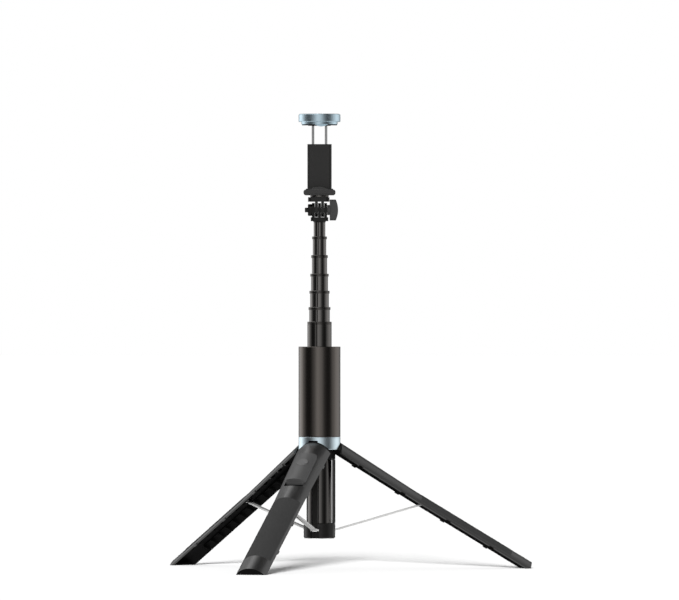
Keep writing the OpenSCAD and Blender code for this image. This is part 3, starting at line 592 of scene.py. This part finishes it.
# Ring. A pale blue-silver anodised ring that joins the sleeve to the leg hinges, with three arches cut in its
# lower edge for the heads of the legs.
RING_COLOUR = (0.76, 0.9, 0.97)
ring_silver = surface("ring_silver", RING_COLOUR, 0.33, turned_lines, metal=1, mark=0.0004, contrast=0.04,
                      tone=0.05, depth=0.000001, worn=(0.9, 0.9, 0.9))
eased("ring", "ring_turned", ring_silver, radius=0.00025)

# Hinge block. Black glass-filled nylon, pressed in the ring, with three pairs of ears for the leg hinge pins.
# The pins are plain steel.
BLOCK_COLOUR = (0.008, 0.008, 0.008)
PIN_COLOUR = (0.55, 0.55, 0.55)
block_black = surface("block_black", BLOCK_COLOUR, 0.5, mark=0.0004, specular=0.2)
eased("hinge_block", "hinge_block_moulded", block_black, radius=0.0003)
pin_steel = surface("pin_steel", PIN_COLOUR, 0.28, turned_lines, metal=1)
in_finish("hinge_pins", pin_steel)

# Legs. Three curved shells moulded in dark nylon, which close round the mast to make the handle. Ribs stiffen
# them inside, a wall closes each foot, and small clips along one edge hold the closed handle together. The
# remote's dock has a scoop for the thumb. The brace bolts are flush steel rivets. The shells' inner and sole
# faces are painted darker and duller than the outer ones, as painted shade.
LEG_COLOUR = (0.017, 0.0167, 0.0163)
# Painted shade: the inner and sole faces are the same nylon, given this darker colour to stand in for shade.
SHADED_INSIDE_COLOUR = (0.004, 0.004, 0.004)
BOLT_COLOUR = (0.5, 0.5, 0.5)
FRONT_AZIMUTH = -18.5
LEG_TURNS = {"front": 0, "right": 120, "rear": -120}
LEG_OPEN = math.radians(59)
LEG_LENGTH = 0.2486
PIVOT_RADIUS = 0.0178
PIVOT_HEIGHT = 0.133
HANDLE_RADIUS = 0.0197
LEG_WALL = 0.002
LEG_HALF_ARC = math.radians(59.4)
LEG_BORE = HANDLE_RADIUS - LEG_WALL
FLARE_END = 0.1
FLARE_START = 0.0018
FOOT_WALL = 0.003
FOOT_OVERLAP = 0.0001
FOOT_STEPS = 32
RIB_EDGE = 0.0095
RIB_ROOM_GAP = 0.00005
RIB_ROOM_FOOT = 0.0005
RIB_ROOM_HEAD = 0.02
RIB_ROOM_TURN = 1.2
RIB_ROOM_STEPS = 6
BOUNDS_ROOM = 0.00003
BOUNDS_FOOT = 0.26
BOUNDS_RADIUS = 0.03
BOUNDS_HEAD = 0.02
SCOOP_RADIUS = 0.008
SCOOP_AT = (0.0232, 0.076)
SCOOP_WIDTH = 0.021
SCOOP_STEPS = 96
CLIP_PLACES = (0.032, 0.087, 0.145, 0.2)
POCKET_LENGTH = 0.0058
POCKET_ARC = (math.radians(-59.3), math.radians(-54.8))
POCKET_SKIN = 0.00014
POCKET_STEPS = 6
SKIN_SUNK = 0.000005
FACES_DOWN = 0.7
FACES_IN = 0.3
BORE_ROOM = 0.0002
DOCK_FROM = 0.02
leg_nylon = surface("leg_nylon", LEG_COLOUR, 0.3, mark=0.00035, contrast=0.2, tone=0.2, depth=0.00003,
                    worn=(0.06, 0.06, 0.06), specular=0.65)
# Painted shade: the same nylon made darker and almost without reflection, for the legs' inner and sole faces.
leg_painted_shade = surface("leg_painted_shade", SHADED_INSIDE_COLOUR, 0.6, contrast=0.3, tone=0.2, depth=0.00004,
                     worn=(0.006, 0.006, 0.006), specular=0.05)
bolt_steel = surface("bolt_steel", BOLT_COLOUR, 0.3, turned_lines, metal=1)


def leg_spoke(leg):
    return Matrix.Rotation(math.radians(FRONT_AZIMUTH + LEG_TURNS[leg] - 90), 4, "Z")


def open_leg(leg):
    """Carries a leg from its closed place along the mast to its open place."""
    return (leg_spoke(leg) @ Matrix.Translation((PIVOT_RADIUS, 0, PIVOT_HEIGHT))
            @ Matrix.Rotation(-LEG_OPEN, 4, "Y") @ Matrix.Translation((-PIVOT_RADIUS, 0, 0)))


def prism(name, outline, low, high, place):
    """Pulls an outline of (x, y) points from one height to another, and sets it in its place."""
    n = len(outline)
    corners = [(x, y, z) for z in (low, high) for x, y in outline]
    sides = [(i, (i + 1) % n, n + (i + 1) % n, n + i) for i in range(n)]
    piece = mesh_object(name, corners, [tuple(range(n))[::-1], tuple(range(n, 2 * n))] + sides)
    piece.data.transform(place)
    return piece


def above_floor(piece):
    """Cuts off what a piece has below the floor."""
    shape = merged(piece.data)
    whole = shape.verts[:] + shape.edges[:] + shape.faces[:]
    cut = bmesh.ops.bisect_plane(shape, geom=whole, plane_co=(0, 0, 0), plane_no=(0, 0, 1), clear_inner=True)
    rim = [edge for edge in cut["geom_cut"] if isinstance(edge, bmesh.types.BMEdge)]
    bmesh.ops.holes_fill(shape, edges=rim)
    put_down(shape, piece.data)
    return piece


def reshaped(node, changes):
    """A draft of a solid with forms joined to it, cut from it or kept of it."""
    mesh = put_down(merged(nodes[node].data), bpy.data.meshes.new(node + "_draft"))
    draft = linked(bpy.data.objects.new(node + "_draft", mesh))
    for operation, form in changes:
        step = draft.modifiers.new("form", "BOOLEAN")
        step.solver = "EXACT"
        step.operation = operation
        step.object = form
    draft = plain_mesh(draft, node + "_reshaped")
    for operation, form in changes:
        bpy.data.objects.remove(form)
    return draft


def leg_bounds(name, place):
    """All that a leg may fill: its share of the handle, the flare at its head and the room for its hinge."""
    handle, head = HANDLE_RADIUS + BOUNDS_ROOM, SLEEVE_RADIUS + BOUNDS_ROOM
    bounds = turned(name, [
        (0, -BOUNDS_FOOT), (handle, -BOUNDS_FOOT), (handle, -FLARE_END), (head, -FLARE_START),
        (BOUNDS_RADIUS, -FLARE_START), (BOUNDS_RADIUS, BOUNDS_HEAD), (0, BOUNDS_HEAD)])
    bounds.data.transform(place)
    return bounds


def foot_wall(name, place):
    outline = arc(LEG_BORE + FOOT_OVERLAP, -LEG_HALF_ARC, LEG_HALF_ARC, FOOT_STEPS)
    return above_floor(prism(name, outline, -LEG_LENGTH, FOOT_WALL - LEG_LENGTH, place))


def beyond_ribs(name, place):
    """The room next to a leg's edges, which its ribs stay out of."""
    radius = LEG_BORE - RIB_ROOM_GAP
    edge = math.acos(RIB_EDGE / radius)
    outline = arc(radius, edge, RIB_ROOM_TURN, RIB_ROOM_STEPS)
    outline += arc(radius, -RIB_ROOM_TURN, -edge, RIB_ROOM_STEPS)
    return prism(name, outline, FOOT_WALL + RIB_ROOM_FOOT - LEG_LENGTH, -RIB_ROOM_HEAD, place)


def thumb_scoop(name, place):
    half = SCOOP_WIDTH / 2
    outline = [(0, -half), (SCOOP_RADIUS, -half), (SCOOP_RADIUS, half), (0, half)]
    scoop = turned(name, outline, SCOOP_STEPS)
    crosswise = Matrix.Rotation(math.pi / 2, 4, "X")
    scoop.data.transform(place @ Matrix.Translation((SCOOP_AT[0], 0, -SCOOP_AT[1])) @ crosswise)
    return scoop


def leg_radius(along):
    """Outer radius of a closed leg's shell at a distance from its pivot."""
    flare = (FLARE_END - along) / (FLARE_END - FLARE_START)
    return HANDLE_RADIUS + (SLEEVE_RADIUS - HANDLE_RADIUS) * max(0, flare)


def pocket_skins(name, place):
    """Thin outer walls over the pockets that take the next leg's clips."""
    points, faces = [], []
    for middle in CLIP_PLACES:
        first = len(points)
        for i in range(POCKET_STEPS + 1):
            turn = POCKET_ARC[0] + (POCKET_ARC[1] - POCKET_ARC[0]) * i / POCKET_STEPS
            for along, deep in ((-1, 0), (1, 0), (1, POCKET_SKIN), (-1, POCKET_SKIN)):
                at = middle + along * POCKET_LENGTH / 2
                r = leg_radius(at) - SKIN_SUNK - deep
                points.append((r * math.cos(turn), r * math.sin(turn), -at))
        for i in range(POCKET_STEPS):
            for k in range(4):
                a, b = first + 4 * i + k, first + 4 * i + (k + 1) % 4
                faces.append((a, b, b + 4, a + 4))
        last = first + 4 * POCKET_STEPS
        faces += [(first + 3, first + 2, first + 1, first), (last, last + 1, last + 2, last + 3)]
    skins = mesh_object(name, points, faces)
    skins.data.transform(place)
    shape = merged(skins.data)
    bmesh.ops.recalc_face_normals(shape, faces=shape.faces)
    put_down(shape, skins.data)
    return skins


def gets_painted_shade(at, facing):
    """Tells a closed leg's inner and sole faces, which get a darker, duller colour as painted shade, from its
    outer ones.
    """
    sole = facing.z < -FACES_DOWN and at.z < FOOT_WALL - LEG_LENGTH
    inward = Vector((at.x, at.y, 0)).normalized().dot(facing) < -FACES_IN
    under_shell = math.hypot(at.x, at.y) < LEG_BORE + BORE_ROOM and at.x < DOCK_FROM
    return sole or inward or under_shell


for leg in LEG_TURNS:
    node = f"leg_{leg}"
    place = open_leg(leg)
    changes = [("INTERSECT", leg_bounds(f"{node}_bounds", place)),
               ("UNION", foot_wall(f"{node}_foot", place)),
               ("DIFFERENCE", beyond_ribs(f"{node}_rib_room", place))]
    if leg == "front":
        changes.append(("DIFFERENCE", thumb_scoop("leg_scoop", place)))
    shell = eased(node, f"{node}_shell", leg_nylon, radius=0.0003,
                  draft=reshaped(node, changes))
    # The inner and sole faces take the painted-shade material.
    shell.data.materials.append(leg_painted_shade)
    to_closed = place.inverted()
    turned_back = to_closed.to_3x3()
    for face in shell.data.polygons:
        if gets_painted_shade(to_closed @ face.center, turned_back @ face.normal):
            face.material_index = 1
    shadow_makers.objects.link(shell)
    skins = pocket_skins(f"{node}_skins", place)
    skins.data.materials.append(leg_nylon)
    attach(smooth(skins), body_of_node(node))
    in_finish(f"brace_bolt_{leg}", bolt_steel)

# Grips. Soft black rubber let into the outside of each leg, moulded with rows of small round pips all over
# for a firm hold.
GRIP_COLOUR = (0.042, 0.042, 0.042)
GRIP_FROM = 0.1095
GRIP_TO = 0.2215
GRIP_ARC = math.radians(96)
PIP_PITCH = 0.0013
PIP_SIZE = 0.00036
PIP_SUNK = 0.0001
grip_rubber = surface("grip_rubber", GRIP_COLOUR, 0.7, mark=0.0006, contrast=0.35, tone=0.2, depth=0.00008,
                      specular=0.2)


def set_on_points(made, points, shape):
    return add_step(made, "GeometryNodeInstanceOnPoints", {"Points": points, "Instance": shape})[0]


def pip_tree():
    """Sets rows of small round pips on a curved patch of a leg, each row half a pitch along from the last."""
    made, given = geometry_tree("grip_pips", ("Radius", "Arc", "From", "To", "Pitch", "Pip Size"))
    across = add_math(made, "MULTIPLY", given["Radius"], given["Arc"])
    length = add_math(made, "SUBTRACT", given["To"], given["From"])
    patch = add_step(made, "GeometryNodeMeshGrid", {
        "Size X": across, "Size Y": length, "Vertices X": add_math(made, "DIVIDE", across, given["Pitch"]),
        "Vertices Y": add_math(made, "DIVIDE", length, given["Pitch"])})
    spot = add_step(made, "ShaderNodeSeparateXYZ", {0: add_step(made, "GeometryNodeInputPosition")[0]})
    row = add_math(made, "ROUND", add_math(made, "DIVIDE", spot["Y"], given["Pitch"]))
    half_pitch = add_math(made, "MULTIPLY", given["Pitch"], 0.5)
    shift = add_math(made, "MULTIPLY", add_math(made, "PINGPONG", row, 1), half_pitch)
    turn = add_math(made, "DIVIDE", add_math(made, "ADD", spot["X"], shift), given["Radius"])
    middle = add_math(made, "MULTIPLY", add_math(made, "ADD", given["From"], given["To"]), -0.5)
    wrapped = add_step(made, "ShaderNodeCombineXYZ", {
        "X": add_math(made, "MULTIPLY", given["Radius"], add_math(made, "COSINE", turn)),
        "Y": add_math(made, "MULTIPLY", given["Radius"], add_math(made, "SINE", turn)),
        "Z": add_math(made, "ADD", spot["Y"], middle)})[0]
    bent = add_step(made, "GeometryNodeSetPosition", {"Geometry": patch["Mesh"], "Position": wrapped})[0]
    pip = add_step(made, "GeometryNodeMeshIcoSphere", {"Radius": given["Pip Size"]})["Mesh"]
    return finished_tree(made, set_on_points(made, bent, pip), given["Finish"])


def add_detail(piece, place, node):
    """Puts a raised detail in its place on a solid and lets it move with the solid's body."""
    piece.data.transform(place)
    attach(smooth(piece), body_of_node(node))


grip_pips = pip_tree()
for leg in LEG_TURNS:
    eased(f"grip_{leg}", f"grip_{leg}_pad", grip_rubber, radius=0.0002)
    pips = grown(f"grip_{leg}_pips", grip_pips, {
        "Radius": HANDLE_RADIUS - PIP_SUNK, "Arc": GRIP_ARC, "From": GRIP_FROM, "To": GRIP_TO,
        "Pitch": PIP_PITCH, "Pip Size": PIP_SIZE, "Finish": grip_rubber})
    add_detail(pips, open_leg(leg), f"grip_{leg}")

# Braces. Strips of bright steel with their edges folded down, each with a pin through the hub and an eye on
# the leg's rivet.
BRACE_COLOUR = (0.86, 0.86, 0.85)
HUB_PIN = Vector((0.0158, 0, 0.042))
LEG_BOLT = Vector((0.0162, 0, -0.118))
BRACE_WIDTH = 0.0054
LIP_DEPTH = 0.0011
LIP_THICKNESS = 0.0008
LIP_FROM = 0.004
brace_steel = surface("brace_steel", BRACE_COLOUR, 0.45, drawn_lines, metal=0.4)


def brace_lips(leg):
    """The two folded edges of a brace, from near its pin in the hub to near the leg's rivet."""
    start, end = leg_spoke(leg) @ HUB_PIN, open_leg(leg) @ LEG_BOLT
    along = (end - start).normalized()
    across = leg_spoke(leg).to_3x3() @ Vector((0, 1, 0))
    place = Matrix((along, across, along.cross(across))).transposed().to_4x4()
    place.translation = start
    near, far = LIP_FROM, (end - start).length - LIP_FROM
    for left in (-BRACE_WIDTH / 2, BRACE_WIDTH / 2 - LIP_THICKNESS):
        right = left + LIP_THICKNESS
        outline = [(near, left), (far, left), (far, right), (near, right)]
        yield "UNION", prism(f"brace_{leg}_lip", outline, -LIP_DEPTH, 0, place)


for leg in LEG_TURNS:
    eased(f"brace_{leg}", f"brace_{leg}_strip", brace_steel, radius=0.00015,
          draft=reshaped(f"brace_{leg}", list(brace_lips(leg))))

# Remote. A lighter grey moulded case that lifts out of its dock in the front leg, with one round button over
# a board and a coin cell.
REMOTE_COLOUR = (0.075, 0.075, 0.075)
TRAY_COLOUR = (0.08, 0.08, 0.08)
BUTTON_COLOUR = (0.1, 0.1, 0.1)
BOARD_COLOUR = (0.03, 0.11, 0.05)
CELL_COLOUR = (0.55, 0.55, 0.55)
remote_grey = surface("remote_grey", REMOTE_COLOUR, 0.4, mark=0.0004, specular=0.3)
eased("remote_top", "remote_top_case", remote_grey, radius=0.0007, steps=3)
remote_floor = surface("remote_floor", TRAY_COLOUR, 0.5)
eased("remote_base", "remote_base_tray", remote_floor, radius=0.0004)
button_grey = surface("button_grey", BUTTON_COLOUR, 0.38, mark=0.0004, specular=0.3)
eased("remote_button", "remote_button_cap", button_grey, radius=0.0004, steps=3)
board_green = surface("board_green", BOARD_COLOUR, 0.4)
in_finish("remote_board", board_green)
cell_steel = surface("cell_steel", CELL_COLOUR, 0.25, turned_lines, metal=1)
in_finish("remote_cell", cell_steel)

# Tilt head. Black nylon prongs that mesh like fingers on a steel bolt, a domed nut on one side, and a flat
# paddle knob on the other. A metal turntable above it lets the clamp turn.
BASE_COLOUR = (0.005, 0.0049, 0.0047)
MOUNT_COLOUR = (0.008, 0.0078, 0.0075)
KNOB_COLOUR = (0.045, 0.045, 0.045)
NUT_COLOUR = (0.03, 0.029, 0.028)
TURNTABLE_COLOUR = (0.11, 0.105, 0.1)
TABLE_SCREW_COLOUR = (0.42, 0.42, 0.42)
PRONG_PITCH = 0.0033
PRONG_SWELL = 1.14
PLATE_THICKNESS = 0.0051
KNURLS = 30
KNURL_RING = 0.00595
KNURL_LENGTH = 0.0034
KNURL_RADIUS = 0.00036
RIB_SIDES = 12


def rib_tree(name, around):
    """Sets straight round ribs, upright, round a ring or side by side in a row."""
    made, given = geometry_tree(name, ("Spread", "Rib Length", "Rib Radius"), counts=("Count",))
    if around:
        points = add_step(made, "GeometryNodeMeshCircle",
                          {"Vertices": given["Count"], "Radius": given["Spread"]})
    else:
        sideways = add_step(made, "ShaderNodeCombineXYZ", {"X": given["Spread"]})[0]
        points = add_step(made, "GeometryNodeMeshLine", {"Count": given["Count"], "Offset": sideways})
    rib = add_step(made, "GeometryNodeMeshCylinder", {
        "Vertices": RIB_SIDES, "Depth": given["Rib Length"], "Radius": given["Rib Radius"]})
    return finished_tree(made, set_on_points(made, points["Mesh"], rib["Mesh"]), given["Finish"])


head_black = surface("head_black", BASE_COLOUR, 0.42, mark=0.0004, worn=(0.08, 0.08, 0.08), specular=0.25)
eased("head_base", "head_base_moulded", head_black, radius=0.00015)
mount_grey = surface("mount_grey", MOUNT_COLOUR, 0.33, mark=0.0004, worn=(0.12, 0.12, 0.12), specular=0.3)
mount = eased("head_mount", "head_mount_moulded", mount_grey, radius=0.00015)
plate_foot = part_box("turntable")[0].z - PLATE_THICKNESS
for corner in mount.data.vertices:
    if corner.co.z < plate_foot:
        prong = math.copysign(PRONG_PITCH, corner.co.x)
        corner.co.x = prong + (corner.co.x - prong) * PRONG_SWELL
nut_black = surface("nut_black", NUT_COLOUR, 0.3, turned_lines, metal=1)
eased("head_nut", "head_nut_turned", nut_black, radius=0.0003)
low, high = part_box("head_nut")
knurls = grown("head_nut_knurls", rib_tree("knurl_ring", True), {
    "Count": KNURLS, "Spread": KNURL_RING, "Rib Length": KNURL_LENGTH, "Rib Radius": KNURL_RADIUS,
    "Finish": nut_black})
crosswise = Matrix.Rotation(math.pi / 2, 4, "Y")
add_detail(knurls, Matrix.Translation((low + high) / 2) @ crosswise, "head_nut")
eased("head_bolt", "head_bolt_turned", nut_black, radius=0.0003)
knob_grey = surface("knob_grey", KNOB_COLOUR, 0.5, mark=0.0009, contrast=0.6, depth=0.00009, specular=0.25)
eased("head_knob", "head_knob_moulded", knob_grey, radius=0.0006, steps=3)
table_dark = surface("table_dark", TURNTABLE_COLOUR, 0.3, turned_lines, metal=1, mark=0.0003)
eased("turntable", "turntable_turned", table_dark, radius=0.0002)
screw_steel = surface("screw_steel", TABLE_SCREW_COLOUR, 0.3, turned_lines, metal=1, mark=0.0003)
in_finish("turntable_screw", screw_steel)

# Clamp. The lower jaw and its back housing hold the phone from below, and the pale round cap is the upper
# jaw, drawn down by two springs on guide rods. Soft ribbed pads line both jaws.
JAW_COLOUR = (0.014, 0.0135, 0.013)
HOUSING_COLOUR = (0.016, 0.0155, 0.015)
PAD_COLOUR = (0.015, 0.015, 0.015)
ROD_COLOUR = (0.62, 0.62, 0.62)
SPRING_COLOUR = (0.5, 0.5, 0.5)
CAP_COLOUR = (0.585, 0.745, 0.835)
JAW_HEIGHT = 0.006
JAW_END_RADIUS = 0.0026
JAW_END_STEPS = 8
JAW_CUT_ROOM = 0.001
JAW_CUT_REACH = 0.02
PAD_RIBS = 5
PAD_RIB_PITCH = 0.0017
PAD_RIB_LENGTH = 0.024
PAD_RIB_RADIUS = 0.0005


def jaw_end(side, up, low, high):
    """What rounding one corner of one end takes off the lower jaw."""
    middle = low.z + JAW_HEIGHT / 2
    x, z = side * (high.x + JAW_CUT_ROOM), middle + up * (JAW_HEIGHT / 2 + JAW_CUT_ROOM)
    centre_x, centre_z = side * (high.x - JAW_END_RADIUS), middle + up * (JAW_HEIGHT / 2 - JAW_END_RADIUS)
    quarter = arc(JAW_END_RADIUS, 0, math.pi / 2, JAW_END_STEPS)
    curve = [(centre_x + side * dx, centre_z + up * dz) for dx, dz in quarter]
    outline = [(x, curve[0][1])] + curve + [(curve[-1][0], z), (x, z)]
    if side * up > 0:
        outline.reverse()
    upright = Matrix.Rotation(math.pi / 2, 4, "X")
    return "DIFFERENCE", prism("jaw_end", outline, -JAW_CUT_REACH, JAW_CUT_REACH, upright)


jaw_dark = surface("jaw_dark", JAW_COLOUR, 0.25, mark=0.0004, worn=(0.2, 0.2, 0.2))
low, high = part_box("lower_jaw")
ends = [jaw_end(side, up, low, high) for side in (-1, 1) for up in (-1, 1)]
eased("lower_jaw", "lower_jaw_cast", jaw_dark, radius=0.0005, steps=3,
      draft=reshaped("lower_jaw", ends))
pad_rubber = surface("pad_rubber", PAD_COLOUR, 0.75, mark=0.0006, contrast=0.3, depth=0.00006)
pad_ribs = rib_tree("pad_ribs", False)
across = Matrix.Rotation(math.pi / 2, 4, "Z") @ Matrix.Rotation(math.pi / 2, 4, "X")
for pad, face in (("lower_pad", 1), ("top_pad", 0)):
    moulded = eased(pad, f"{pad}_moulded", pad_rubber, radius=0.0002)
    if pad == "lower_pad":
        reach = high.x - JAW_END_RADIUS
        for corner in moulded.data.vertices:
            corner.co.x = max(-reach, min(reach, corner.co.x))
    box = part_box(pad)
    start = Vector((0, (box[0].y + box[1].y - (PAD_RIBS - 1) * PAD_RIB_PITCH) / 2, box[face].z))
    ribs = grown(f"{pad}_ribs", pad_ribs, {
        "Count": PAD_RIBS, "Spread": PAD_RIB_PITCH, "Rib Length": PAD_RIB_LENGTH,
        "Rib Radius": PAD_RIB_RADIUS, "Finish": pad_rubber})
    add_detail(ribs, Matrix.Translation(start) @ across, pad)
housing_black = surface("housing_black", HOUSING_COLOUR, 0.4, mark=0.0004, worn=(0.1, 0.1, 0.1), specular=0.3)
eased("clamp_housing", "clamp_housing_moulded", housing_black, radius=0.0006, steps=3)
rod_steel = surface("rod_steel", ROD_COLOUR, 0.18, turned_lines, metal=1, mark=0.0003)
eased("guide_rods", "guide_rods_ground", rod_steel, radius=0.0002)
in_finish("rod_washers", bush_nylon)
spring_steel = surface("spring_steel", SPRING_COLOUR, 0.3, metal=1)
in_finish("clamp_springs", spring_steel)
cap_silver = surface("cap_silver", CAP_COLOUR, 0.34, turned_lines, metal=1, mark=0.0004, contrast=0.04,
                     tone=0.05, depth=0.000001, worn=(0.9, 0.9, 0.9))
eased("top_jaw", "cap_turned", cap_silver, radius=0.00035, steps=3)
